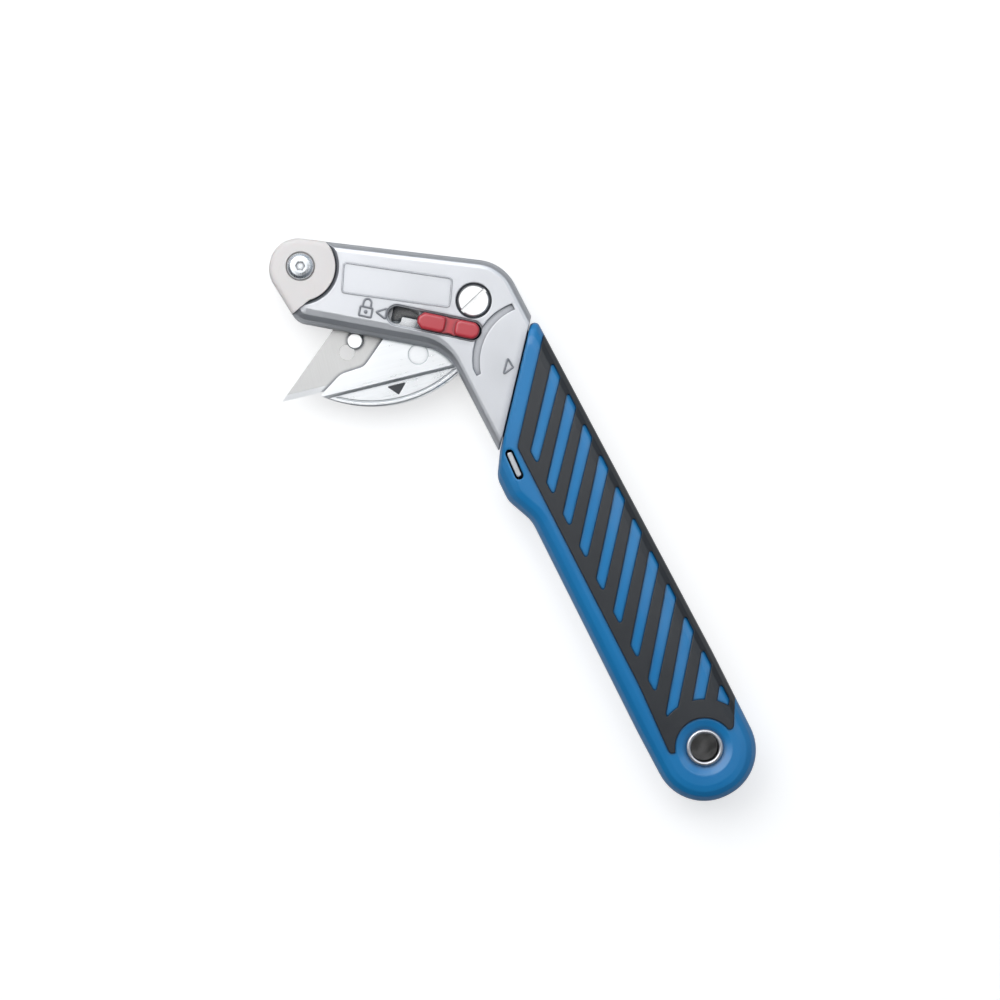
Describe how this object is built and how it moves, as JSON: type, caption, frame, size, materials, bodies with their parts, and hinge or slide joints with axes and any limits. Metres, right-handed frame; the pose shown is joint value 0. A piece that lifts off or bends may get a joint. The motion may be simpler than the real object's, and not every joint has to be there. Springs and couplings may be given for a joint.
{
  "type": "utility knife",
  "caption": "Angled utility knife: swing-out blade holder with slide lock in a die-cast head, and a handle cover that swings open over spare blades.",
  "frame": {"origin": "middle of the knife's outline in plan, on the surface that it lies on, back side down", "axes": "+X along the handle from the butt to the head, +Y to the side the blade stands out on, +Z out of the front face"},
  "size_m": [0.2012, 0.0776, 0.0198],
  "materials": {
    "die_cast": "satin die casting",
    "guard_plastic": "matte warm white",
    "chrome": "bright plated",
    "steel": "satin steel",
    "holder_steel": "polished plate",
    "blade_steel": "ground, matte",
    "blue_plastic": "satin gloss",
    "black_rubber": "soft matte",
    "red_plastic": "gloss"
  },
  "bodies": {
    "frame": {"front_frame": "die_cast", "rear_frame": "die_cast", "nose_guard": "guard_plastic", "nose_screw": "chrome", "nose_nut": "steel", "pivot_bolt": "steel", "pivot_nut": "steel", "thrust_washers": "steel", "frame_screws": "steel", "stop_pin": "steel", "detent_spring": "steel", "rear_shell": "blue_plastic", "rear_grip": "black_rubber", "shell_screws": "steel", "eyelet": "chrome", "eyelet_washer": "steel", "tray_magnet": "steel", "spare_blades": "blade_steel"},
    "cover": {"cover_shell": "blue_plastic", "cover_grip": "black_rubber", "latch_spring": "chrome"},
    "holder": {"holder_front_plate": "holder_steel", "holder_back_plate": "holder_steel", "pivot_bush": "steel", "holder_rivets": "steel", "blade": "blade_steel", "blade_clip": "holder_steel", "clip_button": "chrome"},
    "lock": {"lock_button": "red_plastic", "lock_slider": "steel"}
  },
  "joints": [
    {"name": "holder_swing", "type": "hinge", "parent": "frame", "child": "holder", "pos_m": [0.06027, -0.02397, 0.0099], "axis": [0, 0, 1], "range_deg": [0, 40]},
    {"name": "cover_swing", "type": "hinge", "parent": "frame", "child": "cover", "pos_m": [-0.08523, -0.02407, 0.0099], "axis": [0, 0, -1], "range_deg": [0, 60], "deforming": ["latch_spring"]},
    {"name": "lock_slide", "type": "slide", "parent": "frame", "child": "lock", "axis": [0.6293, 0.7771, 0], "range_m": [0, 0.0084], "deforming": ["detent_spring"]}
  ]
}
